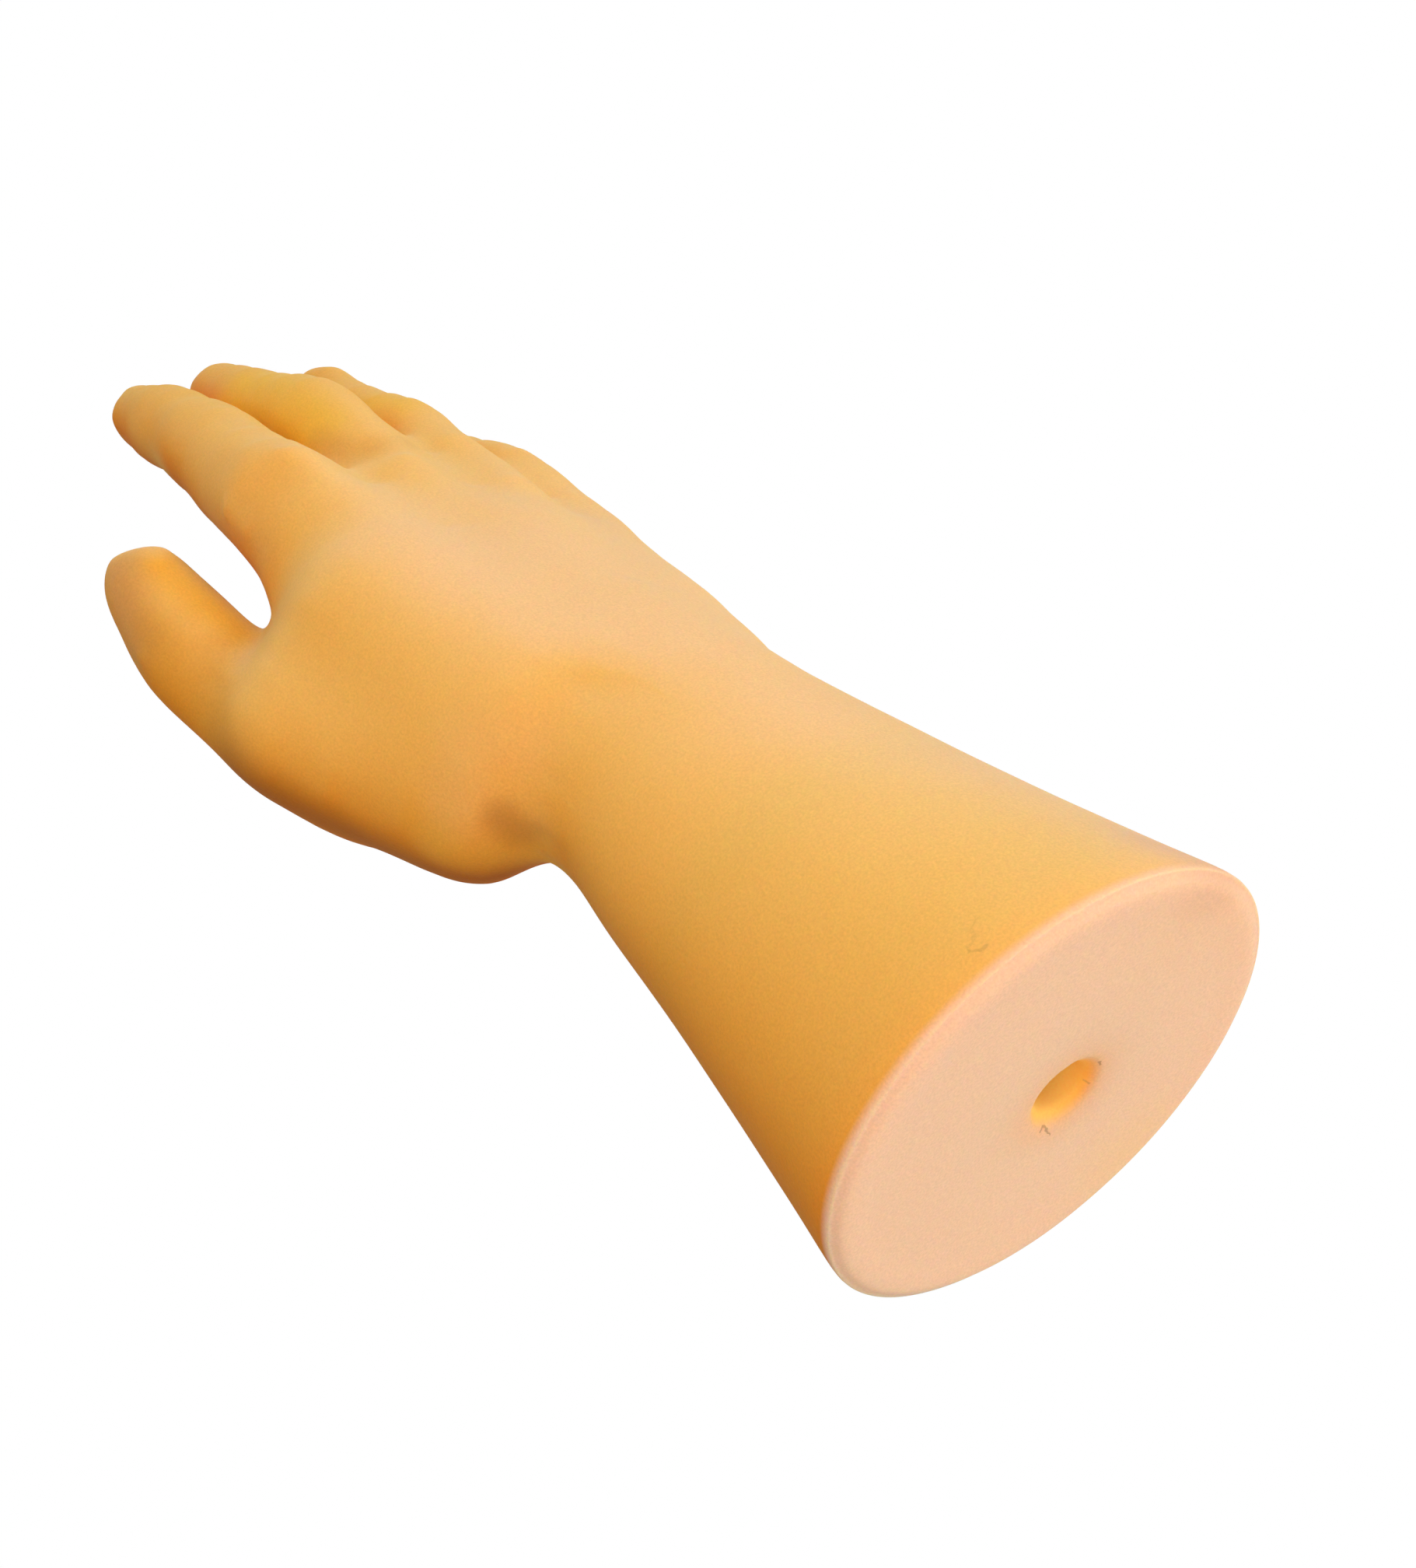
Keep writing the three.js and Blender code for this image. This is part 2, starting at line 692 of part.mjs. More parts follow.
const vinyl = new THREE.MeshStandardMaterial({ color: 0xedb272, roughness: 0.55, metalness: 0 });
const hand = new THREE.Mesh(moulding(), vinyl);
hand.name = 'hand_moulding';
const middle = new THREE.Box3().setFromObject(hand).getCenter(new THREE.Vector3());
hand.position.set(-middle.x, -middle.y, 0);

const group = new THREE.Group();
group.add(hand);

export default group;
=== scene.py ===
# Looks, light and camera for the display hand
import json
import math

import bpy
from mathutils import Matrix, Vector
from mathutils.bvhtree import BVHTree

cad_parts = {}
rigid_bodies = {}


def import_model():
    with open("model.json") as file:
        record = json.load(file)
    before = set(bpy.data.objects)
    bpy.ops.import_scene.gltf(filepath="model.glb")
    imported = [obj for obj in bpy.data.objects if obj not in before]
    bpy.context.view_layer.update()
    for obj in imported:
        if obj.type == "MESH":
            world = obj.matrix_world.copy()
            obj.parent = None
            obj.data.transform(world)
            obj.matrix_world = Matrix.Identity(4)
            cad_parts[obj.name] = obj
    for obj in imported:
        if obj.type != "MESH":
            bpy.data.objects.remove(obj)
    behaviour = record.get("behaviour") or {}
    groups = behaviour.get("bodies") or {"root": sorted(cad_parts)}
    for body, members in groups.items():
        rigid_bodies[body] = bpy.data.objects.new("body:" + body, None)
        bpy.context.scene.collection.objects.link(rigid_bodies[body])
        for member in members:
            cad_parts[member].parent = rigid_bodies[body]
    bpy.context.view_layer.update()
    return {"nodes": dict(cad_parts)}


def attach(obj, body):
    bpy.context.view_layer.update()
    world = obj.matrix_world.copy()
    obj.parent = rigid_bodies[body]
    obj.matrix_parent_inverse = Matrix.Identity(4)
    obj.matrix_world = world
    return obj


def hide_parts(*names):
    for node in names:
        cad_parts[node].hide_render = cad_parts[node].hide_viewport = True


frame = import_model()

scene = bpy.context.scene
print("frame loaded", list(frame["nodes"]))


def report(text):
    print("stage:", text)


def nothingSelected():
    bpy.ops.object.select_all(action="DESELECT")


def makeActive(piece):
    nothingSelected()
    piece.select_set(True)
    bpy.context.view_layer.objects.active = piece


# clears what is picked in the active piece, and leaves it in object mode
def pickNothing(kind):
    bpy.ops.object.mode_set(mode="EDIT")
    bpy.ops.mesh.select_mode(type=kind)
    bpy.ops.mesh.select_all(action="DESELECT")
    bpy.ops.object.mode_set(mode="OBJECT")


# a node with its own sockets set, linked from other nodes' sockets where given
def addNode(tree, kind, place, links=None, values=None, **settings):
    node = tree.nodes.new(kind)
    node.location = (place[0] * 220, place[1] * -180)  # columns and rows of the node editor
    for name, value in settings.items():
        setattr(node, name, value)
    for name, value in (values or {}).items():
        node.inputs[name].default_value = value
    for name, socket in (links or {}).items():
        tree.links.new(socket, node.inputs[name])
    return node


# a maths node with its parts in order, each a socket or a plain value
def addMaths(tree, kind, place, operation, *parts):
    node = addNode(tree, kind, place, operation=operation)
    for slot, part in zip(node.inputs, parts):
        if isinstance(part, bpy.types.NodeSocket):
            tree.links.new(part, slot)
        elif part is not None:
            slot.default_value = part
    return node


def addMath(tree, place, operation, *parts):
    return addMaths(tree, "ShaderNodeMath", place, operation, *parts).outputs[0]


# the vector comes out of the first socket, and a length or a dot product out of the second
def addVectorMath(tree, place, operation, *parts):
    node = addMaths(tree, "ShaderNodeVectorMath", place, operation, *parts)
    return node.outputs[1 if operation in ("DOT_PRODUCT", "DISTANCE") else 0]


# carries a value from its first two limits to its last two
def addRange(tree, place, value, limits, kind="SMOOTHSTEP"):
    names = ("From Min", "From Max", "To Min", "To Max")
    node = addNode(tree, "ShaderNodeMapRange", place, {"Value": value}, dict(zip(names, limits)),
                   interpolation_type=kind)
    return node.outputs["Result"]


# one colour laid over another by a share of it
def addLayer(tree, place, share, under, over):
    node = addNode(tree, "ShaderNodeMix", place, {"Factor": share}, data_type="RGBA")
    tree.links.new(under, node.inputs[6])
    if isinstance(over, bpy.types.NodeSocket):
        tree.links.new(over, node.inputs[7])
    else:
        node.inputs[7].default_value = over
    return node.outputs[2]


# camera: where the photograph was taken from, below and behind the upright hand
cameraSizes = {
    "place": (-0.1948, -0.1861, -0.1192),
    "turn": (134.80, 34.89, -17.67),  # degrees about X, Y and Z
    "lens": 50,
    "sensor": 36,
    "nearest": 0.01,
}
bpy.ops.object.camera_add(
    location=cameraSizes["place"],
    rotation=[math.radians(angle) for angle in cameraSizes["turn"]],
)
camera = bpy.context.object
camera.name = "photoCamera"
camera.data.lens = cameraSizes["lens"]
camera.data.sensor_width = cameraSizes["sensor"]
camera.data.clip_start = cameraSizes["nearest"]
scene.camera = camera
report("camera")


# the moulding's visible surface, worked up from the CAD solid; lengths are in metres
skinSizes = {
    "weld": 0.00001,
    "joinFlat": 60,  # degrees within which two triangles make a four-sided face
    "joinSquare": 70,
    "hollowDepth": 0.060,  # how far up the lining is kept behind the vent
    "cutBand": 0.009,
    "liningRadius": 0.028,
    "dome": ((0.010, 0.72), (0.004, 0.5)),  # each step's rise and how far it draws in
    "tight": ((-0.0503, 0.0175, 0.1515), (0.0039, 0.0247, 0.2341)),
    "tightReach": 0.0011,
    "wristBand": (0.062, 0.074, 0.098, 0.118),  # from, full from, full to, to
    "wristPasses": 60,
    "handPasses": 20,
    "passSteps": (0.5, -0.53),  # smooth, then swell
    "lean": 0.1,  # how far the middle of the hand moves to the thumb with height
    "vent": (0.0045, 0.0025),  # from the foot's centre
    "panel": (  # distance from the foot's centre, and height there
        (0.0195, 0.00100),
        (0.0307, 0.00046),
        (0.0319, 0.00036),
        (0.0331, 0.00022),
        (0.0357, 0.0),
    ),
    "panelBelow": 0.0018,
    "panelFromVent": 0.0095,
    "lip": (  # distance from the vent's centre in the solid, and in the skin
        (0.00575, 0.00445),
        (0.00607, 0.00510),
        (0.00695, 0.00645),
        (0.00815, 0.00880),
    ),
    "lipBelow": 0.0102,
    "lipReach": 0.0084,
    "faceDown": 0.5,  # how much of a normal points down or up
    "dabs": (  # middle, reach and push along the surface's own direction
        ((0.0274, -0.0127, 0.095), 0.020, -0.0012),  # wrist
        ((0.0138, -0.0017, 0.1775), 0.012, 0.0007),  # knuckles
        ((-0.0079, -0.0050, 0.1640), 0.010, 0.0006),
        ((-0.0015, -0.0060, 0.1700), 0.007, -0.0008),
        ((-0.0270, -0.0076, 0.1600), 0.009, -0.0009),  # hollow beside the first knuckle
        ((0.0228, 0.0112, 0.2293), 0.009, 0.0007),  # middle finger's last joint
    ),
    "levels": 2,
    "fitRounds": 4,
    "fitFrom": (0.0008, 0.0024),  # heights between which the fit takes hold
    "raysPerPoint": 48,
    "rayLift": 0.0006,
    "rayReach": 0.018,
    "neckReach": 0.009,
    "neckHeights": (0.0026, 0.012),
    "seenInside": (0.043, 0.024, 0.030),  # the patch of lining that shows through the vent
    "seenFade": (0.012, 0.022),
    "wavePitch": 0.028,
    "waveDepth": 0.00025,
}
footCentre = Vector((0.0127, 0, 0))
ventCentre = footCentre + Vector((*skinSizes["vent"], 0))


def copyOfNode(name, newName, sizes):
    node = frame["nodes"][name]
    piece = node.copy()
    piece.data = node.data.copy()
    piece.name = newName
    piece.data.name = newName
    piece.parent = None
    scene.collection.objects.link(piece)
    makeActive(piece)
    bpy.ops.object.mode_set(mode="EDIT")
    bpy.ops.mesh.select_all(action="SELECT")
    bpy.ops.mesh.remove_doubles(threshold=sizes["weld"])
    bpy.ops.mesh.tris_convert_to_quads(
        face_threshold=math.radians(sizes["joinFlat"]),
        shape_threshold=math.radians(sizes["joinSquare"]),
    )
    bpy.ops.mesh.customdata_custom_splitnormals_clear()
    bpy.ops.object.mode_set(mode="OBJECT")
    return piece


# the lining is kept only as deep as the vent shows it, and closed there with a dome
def trimLining(piece, sizes):
    top = sizes["hollowDepth"]

    def heightInLining(face):
        fromAxis = Vector((face.center.x - footCentre.x, face.center.y - footCentre.y, 0))
        return face.center.z - top if face.normal.dot(fromAxis) < 0 else None

    pickNothing("FACE")
    for face in piece.data.polygons:
        height = heightInLining(face)
        face.select = height is not None and abs(height) < sizes["cutBand"]
    bpy.ops.object.mode_set(mode="EDIT")
    bpy.ops.mesh.delete(type="FACE")

    # the lining above the cut is now an island: one of its faces is picked, and all that it joins
    pickNothing("FACE")
    for face in piece.data.polygons:
        height = heightInLining(face)
        aside = (face.center.xy - footCentre.xy).length
        inLining = height is not None and aside < sizes["liningRadius"]
        if inLining and 0 < height < 2 * sizes["cutBand"]:
            face.select = True
            break
    bpy.ops.object.mode_set(mode="EDIT")
    bpy.ops.mesh.select_linked()
    bpy.ops.mesh.delete(type="FACE")

    bpy.ops.mesh.select_mode(type="EDGE")
    bpy.ops.mesh.select_all(action="DESELECT")
    bpy.ops.mesh.select_non_manifold(extend=False)
    for rise, share in sizes["dome"]:
        bpy.ops.mesh.extrude_edges_move(TRANSFORM_OT_translate={"value": (0, 0, rise)})
        bpy.ops.transform.resize(value=(share, share, 1))
    bpy.ops.mesh.edge_face_add()
    bpy.ops.mesh.poke()
    bpy.ops.object.mode_set(mode="OBJECT")


# two cells of the mesh are far smaller than those around them and would leave nubs
def mergeTight(piece, sizes):
    for middle in sizes["tight"]:
        pickNothing("VERT")
        for vert in piece.data.vertices:
            vert.select = (vert.co - Vector(middle)).length < sizes["tightReach"]
        bpy.ops.object.mode_set(mode="EDIT")
        bpy.ops.mesh.merge(type="CENTER")
        bpy.ops.object.mode_set(mode="OBJECT")


# rises softly from 0 to 1 between two values
def ramp(value, low, high):
    share = min(max((value - low) / (high - low), 0), 1)
    return share * share * (3 - 2 * share)


# value between the rows of a table of pairs
def readRow(table, value):
    if value <= table[0][0]:
        return table[0][1]
    for (low, first), (high, second) in zip(table, table[1:]):
        if value <= high:
            return first + (second - first) * (value - low) / (high - low)
    return table[-1][1]


# evens out the surface, most where the forearm runs into the hand: each pass smooths it and then
# swells it again, so that it keeps its size
def evenOut(piece, sizes):
    mesh = piece.data
    joined = [[] for vert in mesh.vertices]
    for edge in mesh.edges:
        first, second = edge.vertices
        joined[first].append(second)
        joined[second].append(first)
    low, fullLow, fullHigh, high = sizes["wristBand"]
    passesOf = []
    for vert in mesh.vertices:
        height = vert.co.z
        fromAxis = Vector((vert.co.x - footCentre.x + sizes["lean"] * height, vert.co.y, 0))
        inWrist = ramp(height, low, fullLow) * (1 - ramp(height, fullHigh, high))
        inHand = height > fullHigh
        count = max(inWrist * sizes["wristPasses"], sizes["handPasses"] if inHand else 0)
        passesOf.append(round(count) if inHand or fromAxis.dot(vert.normal) > 0 else 0)
    for passNumber in range(sizes["wristPasses"]):
        for step in sizes["passSteps"]:
            places = [vert.co.copy() for vert in mesh.vertices]
            for vert, others, count in zip(mesh.vertices, joined, passesOf):
                if passNumber < count:
                    mean = sum((places[n] for n in others), Vector()) / len(others)
                    vert.co += (mean - vert.co) * step
    mesh.update()


# the foot's panel runs into its rim in a soft valley, and its vent has a soft narrow lip
def softenFoot(piece, sizes):
    panelRadius = sizes["panel"][-1][0]
    for vert in piece.data.vertices:
        fromFoot = (vert.co.xy - footCentre.xy).length
        aside = (vert.co - ventCentre).xy
        fromVent = aside.length
        inPanel = vert.co.z < sizes["panelBelow"] and vert.normal.z < -sizes["faceDown"]
        inLip = vert.co.z < sizes["lipBelow"] and vert.normal.z < sizes["faceDown"]
        if inPanel and fromVent > sizes["panelFromVent"] and fromFoot < panelRadius:
            vert.co.z = readRow(sizes["panel"], fromFoot)
        elif inLip and fromVent < sizes["lipReach"]:
            vert.co.xy = ventCentre.xy + aside * (readRow(sizes["lip"], fromVent) / fromVent)
    piece.data.update()


# soft pushes, as with a sculpting brush
def pushDabs(piece, sizes):
    for middle, reach, push in sizes["dabs"]:
        moves = []
        for vert in piece.data.vertices:
            near = 1 - (vert.co - Vector(middle)).length_squared / reach ** 2
            if near > 0:
                moves.append((vert, vert.normal * push * near * near))
        for vert, move in moves:
            vert.co += move
        piece.data.update()


# how shut in each point of the surface is, from 0 in the open to 1 deep between the fingers
def markHollows(piece, sizes):
    mesh = piece.data
    tree = BVHTree.FromObject(piece, bpy.context.evaluated_depsgraph_get())
    count = sizes["raysPerPoint"]
    turn = math.pi * (3 - math.sqrt(5))  # the golden angle spreads the rays evenly
    rays = []
    for i in range(count):
        height = math.sqrt((i + 0.5) / count)
        side = math.sqrt(1 - height * height)
        rays.append(Vector((side * math.cos(i * turn), side * math.sin(i * turn), height)))
    values = []
    for vert in mesh.vertices:
        toNormal = vert.normal.to_track_quat("Z", "Y")
        start = vert.co + vert.normal * sizes["rayLift"]
        shut = 0
        for ray in rays:
            hit = tree.ray_cast(start, toNormal @ ray, sizes["rayReach"])
            if hit[0] is not None:
                shut += 1 - hit[3] / sizes["rayReach"]
        values.append(shut / count)
    mesh.attributes.new("hollow", "FLOAT", "POINT").data.foreach_set("value", values)


# the vent's neck and the lining behind it, which get a painted glow as of light coming through the
# wall
def markInside(piece, sizes):
    neckLow, neckHigh = sizes["neckHeights"]
    inside = piece.data.attributes.new("inside", "FLOAT", "POINT")
    for vert, entry in zip(piece.data.vertices, inside.data):
        fromVent = (vert.co - ventCentre).xy.length
        fromSeen = (vert.co - Vector(sizes["seenInside"])).length
        fromAxis = Vector((vert.co.x - footCentre.x, vert.co.y, 0))
        if fromVent < sizes["neckReach"] and neckLow < vert.co.z < neckHigh:
            entry.value = 1
        elif vert.co.z < sizes["hollowDepth"] and vert.normal.dot(fromAxis) < 0:
            entry.value = 1 - ramp(fromSeen, *sizes["seenFade"])


# moves the cage until the rounded surface passes through the solid's own points, but for the foot
def fitCage(piece, sizes):
    targets = [vert.co.copy() for vert in piece.data.vertices]
    shares = [ramp(target.z, *sizes["fitFrom"]) for target in targets]
    rounded = piece.modifiers.new("rounded", "SUBSURF")
    rounded.levels = sizes["levels"]
    rounded.render_levels = sizes["levels"]
    for fitRound in range(sizes["fitRounds"]):
        shaped = piece.evaluated_get(bpy.context.evaluated_depsgraph_get()).data
        worst = 0
        for vert, target, share, now in zip(piece.data.vertices, targets, shares, shaped.vertices):
            gap = target - now.co
            worst = max(worst, gap.length)
            vert.co += gap * share
        piece.data.update()
        print("cage round", fitRound, "furthest point off by", round(worst * 1000, 3), "mm")
    bpy.ops.object.modifier_apply(modifier="rounded")


# a moulding is never quite even, so wide low waves run over it
def addWaves(piece, sizes):
    waves = bpy.data.textures.new("mouldWaves", "CLOUDS")
    waves.noise_scale = sizes["wavePitch"]
    waves.noise_depth = 1
    uneven = piece.modifiers.new("uneven", "DISPLACE")
    uneven.texture = waves
    uneven.texture_coords = "LOCAL"
    uneven.mid_level = 0.5
    uneven.strength = sizes["waveDepth"]
    bpy.ops.object.modifier_apply(modifier="uneven")
    bpy.data.textures.remove(waves)


# brush strokes of painted light and shade, laid over each other: path, reach, colour and how much
# it covers
strokes = {
    # painted shade: a dark band where the thenar turns away from the light, soft on the palm side
    "thenarEdgeShade": {
        "path": ((-0.045, 0.026, 0.1275), (-0.040, 0.027, 0.1165), (-0.032, 0.028, 0.104),
                 (-0.0265, 0.025, 0.091), (-0.0205, 0.0215, 0.085)),
        "reach": 0.0115, "colour": (0.33, 0.085, 0.003), "cover": 0.7,
    },
    # painted light and shade on the heel of the hand: golden, paler, then darker in the notch by
    # the wrist
    "heelGold": {
        "path": ((-0.029, 0.014, 0.091), (-0.023, 0.013, 0.084), (-0.016, 0.013, 0.080)),
        "reach": 0.0085, "colour": (0.82, 0.38, 0.045), "cover": 0.7,
    },
    "wristPale": {
        "path": ((-0.022, -0.006, 0.086), (-0.026, -0.003, 0.092), (-0.028, 0.005, 0.089)),
        "reach": 0.011, "colour": (0.81, 0.43, 0.12), "cover": 0.6,
    },
    "heelNotch": {
        "path": ((-0.0224, 0.0020, 0.0826), (-0.0203, 0.0055, 0.0804)),
        "reach": 0.007, "colour": (0.82, 0.44, 0.10), "cover": 0.5,
    },
    "wristShade": {
        "path": ((-0.0245, 0.006, 0.084), (-0.0215, 0.009, 0.082)),
        "reach": 0.005, "colour": (0.45, 0.18, 0.025), "cover": 0.5,
    },
    # painted warm light: golden orange along the thumb's upper side
    "thumbSideLight": {
        "path": ((-0.043, 0.007, 0.160), (-0.040, 0.009, 0.151), (-0.037, 0.010, 0.145)),
        "reach": 0.007, "colour": (0.86, 0.37, 0.015), "cover": 0.7,
    },
    # painted shade on the thumb's tip
    "thumbTipShade": {
        "path": ((-0.0497, 0.0095, 0.1645), (-0.0502, 0.0127, 0.1590), (-0.0504, 0.0160, 0.1540)),
        "reach": 0.008, "colour": (0.62, 0.28, 0.080), "cover": 0.75,
    },
    # painted shade in the crease between the thumb and the thenar
    "thumbCreaseShade": {
        "path": ((-0.034, 0.011, 0.145), (-0.041, 0.011, 0.142), (-0.044, 0.014, 0.139),
                 (-0.045, 0.018, 0.133)),
        "reach": 0.006, "colour": (0.64, 0.28, 0.045), "cover": 0.35,
    },
    # painted shade on the thumb's lower side
    "thumbLowShade": {
        "path": ((-0.051, 0.014, 0.148), (-0.0475, 0.019, 0.136)),
        "reach": 0.012, "colour": (0.58, 0.23, 0.012), "cover": 0.4,
    },
    # painted light: the top of the forearm is paler where the light falls
    "forearmTopLight": {
        "path": ((0.027, -0.026, 0.033), (0.030, -0.034, 0.004)),
        "reach": 0.026, "colour": (0.87, 0.50, 0.27), "cover": 0.6,
    },
    # painted shade where the foot's rim turns away at the top
    "rimTopShade": {
        "path": ((0.0240, -0.0340, 0.010), (0.0280, -0.0350, 0.002)),
        "reach": 0.011, "colour": (0.74, 0.41, 0.25), "cover": 0.6,
    },
    # painted bounce light: golden orange on the middle finger's side in the groove
    "middleSideBounce": {
        "path": ((-0.003, 0.009, 0.216), (-0.004, 0.004, 0.203), (-0.005, -0.001, 0.186)),
        "reach": 0.012, "colour": (0.90, 0.50, 0.045), "cover": 0.8,
    },
    # painted bounce light: golden orange on the ring finger's side in the groove
    "ringSideBounce": {
        "path": ((0.017, 0.004, 0.202), (0.020, 0.002, 0.194)),
        "reach": 0.009, "colour": (0.88, 0.46, 0.035), "cover": 0.6,
    },
    # painted shade along the web between the first two fingers
    "firstWebShade": {
        "path": ((-0.005, -0.001, 0.182), (-0.004, -0.005, 0.171), (0.006, -0.004, 0.173)),
        "reach": 0.005, "colour": (0.50, 0.22, 0.05), "cover": 0.22,
    },
    # painted light and shade at the index finger's base
    "indexBase": {
        "path": ((-0.030, 0.002, 0.176), (-0.027, -0.006, 0.163)),
        "reach": 0.013, "colour": (0.83, 0.385, 0.075), "cover": 0.55,
    },
    # painted shade on the side of the web by the thumb
    "webSideShade": {
        "path": ((-0.0303, -0.0005, 0.1590), (-0.0297, 0.0011, 0.1545)),
        "reach": 0.008, "colour": (0.70, 0.36, 0.085), "cover": 0.6,
    },
    # painted light and shade at the index finger's tip
    "indexTip": {
        "path": ((-0.0220, 0.0133, 0.2190), (-0.0226, 0.0136, 0.2110), (-0.0229, 0.0140, 0.2040)),
        "reach": 0.008, "colour": (0.86, 0.40, 0.070), "cover": 0.7,
    },
    # painted light: the vent's neck and the lining behind it, paler as if lit through the wall
    "ventNeckLight": {
        "path": ((0.0172, 0.0025, 0.008), (0.0172, 0.0025, 0.014)),
        "reach": 0.011, "colour": (0.87, 0.56, 0.17), "cover": 0.9,
    },
    "ventInsideLight": {
        "path": ((0.043, 0.024, 0.032), (0.040, 0.022, 0.018)),
        "reach": 0.024, "colour": (0.86, 0.54, 0.13), "cover": 0.9,
    },
}
strokeSpan = 0.05  # no stroke colours anything further than this from its middle
unpainted = (0.8, 0.4, 0.1, 0.0)


def fromPath(spot, path):
    nearest = math.inf
    for start, end in zip(path, path[1:]):
        start = Vector(start)
        along = Vector(end) - start
        share = min(max((spot - start).dot(along) / along.length_squared, 0), 1)
        nearest = min(nearest, (spot - start - along * share).length)
    return nearest


def paintStrokes(piece, strokes):
    paint = piece.data.attributes.new("paint", "FLOAT_COLOR", "POINT")
    shades = [list(unpainted) for vert in piece.data.vertices]
    for stroke in strokes.values():
        middle = Vector(stroke["path"][len(stroke["path"]) // 2])
        for vert, shade in zip(piece.data.vertices, shades):
            if (vert.co - middle).length > strokeSpan:
                continue
            near = 1 - (fromPath(vert.co, stroke["path"]) / stroke["reach"]) ** 2
            if near > 0:
                cover = near * near * stroke["cover"]
                below = shade[3] * (1 - cover)
                total = cover + below
                for i, part in enumerate(stroke["colour"]):
                    shade[i] = (part * cover + shade[i] * below) / total
                shade[3] = total
    paint.data.foreach_set("color", [value for shade in shades for value in shade])


def makeSkin(sizes):
    skin = copyOfNode("hand_moulding", "hand_skin", sizes)
    trimLining(skin, sizes)
    mergeTight(skin, sizes)
    evenOut(skin, sizes)
    softenFoot(skin, sizes)
    pushDabs(skin, sizes)
    makeActive(skin)
    markHollows(skin, sizes)
    markInside(skin, sizes)
    fitCage(skin, sizes)
    addWaves(skin, sizes)
    paintStrokes(skin, strokes)
    bpy.ops.object.shade_smooth()
    return skin


skin = makeSkin(skinSizes)
print("skin triangles", sum(len(face.vertices) - 2 for face in skin.data.polygons))
report("skin shaped")


# vinyl: coloured through, translucent, with a fine grain
# where four numbers stand together, values between the first two are carried to the last two
vinylFinish = {
    "toPalm": (-0.17, 0.80, -0.58),  # the way in which the painted shade deepens
    "intoPalm": (0.35, 0.85, 0.40),  # the painted shade is deep inside the palm as well
    "palmStart": 0.42,
    "driftNoise": {"Scale": 22, "Detail": 3, "Roughness": 0.5},
    "driftTint": (0.3, 0.7, -0.05, 0.05),
    "fingerTint": (0.105, 0.235, 0.0, 0.66),  # these three go by height
    "handTint": (0.070, 0.100, 0.0, -0.12),
    "footTint": (0.0, 0.075, 0.24, 0.0),
    "tintSpan": (-0.95, 0.9, 0.0, 1.0),
    # the vinyl's colour from lit to shaded, for the painted light and shade
    "tintAndShade": (
        (0.00, (0.86, 0.505, 0.235, 1)),
        (0.14, (0.86, 0.485, 0.140, 1)),
        (0.32, (0.85, 0.445, 0.097, 1)),
        (0.50, (0.84, 0.402, 0.072, 1)),
        (0.68, (0.84, 0.338, 0.038, 1)),
        (0.84, (0.84, 0.250, 0.008, 1)),
        (1.00, (0.76, 0.180, 0.002, 1)),
    ),
    "pale": (0.86, 0.512, 0.312, 1),
    "paleRange": (0.0012, 0.0030, 1.0, 0.0),
    # painted shade and bounce light in the hollows, and a painted glow out of them and out of the
    # vent
    "deep": (0.90, 0.400, 0.022, 1),
    "deepRange": (0.3, 0.7, 0.0, 0.9),
    "glow": (1.0, 0.50, 0.06, 1),
    "glowStrength": 0.05,
    "insideStrength": 0.20,
    "grainNoise": {"Scale": 2600, "Detail": 2, "Roughness": 0.6},
    "grainRange": (0.25, 0.75, 0.92, 1.08),
    "satinNoise": {"Scale": 1100, "Detail": 4, "Roughness": 0.65},
    "satinBump": {"Strength": 0.25, "Distance": 0.0004},
    "roughness": (0.3, 0.7, 0.51, 0.62),
    "scatter": 0.8,
    "scatterReach": 0.004,
    "scatterSpread": (1.0, 0.42, 0.12),
    "refraction": 1.5,
    "shine": 0.08,
}


# fine marks of wear: hairs and specks on the foot, seen from below, and a scuff on the forearm
# a path is in x and y on the foot, and in x and z on the back of the forearm
wear = {
    "colour": (0.20, 0.11, 0.04, 1),
    "shakeNoise": {"Scale": 900, "Detail": 1},
    "shake": 0.0012,
    "core": 0.3,  # share of a mark's width that is at full strength
    "footBelow": 0.0035,
    "marks": {
        "rightSpeck": {
            "onFoot": True, "width": 0.0003, "cover": 0.5,
            "path": ((0.0221, -0.0017), (0.0226, -0.0010)),
        },
        "lowSpeck": {
            "onFoot": True, "width": 0.0003, "cover": 0.4,
            "path": ((0.0224, 0.0027), (0.0228, 0.0031)),
        },
        "leftSpeck": {
            "onFoot": True, "width": 0.0003, "cover": 0.4,
            "path": ((0.0120, -0.0015), (0.0123, -0.0019)),
        },
        "hair": {
            "onFoot": True, "width": 0.00022, "cover": 0.5,
            "path": ((0.0152, 0.0093), (0.0155, 0.0085), (0.0168, 0.0096), (0.0177, 0.0107)),
        },
        "scuff": {
            "onFoot": False, "width": 0.0003, "cover": 0.1,
            "path": ((-0.0082, 0.0091), (-0.0095, 0.0085), (-0.0102, 0.0070), (-0.0116, 0.0064)),
        },
        "lowScuff": {
            "onFoot": False, "width": 0.0004, "cover": 0.2,
            "path": ((-0.0118, 0.0060), (-0.0112, 0.0050), (-0.0105, 0.0047)),
        },
    },
}


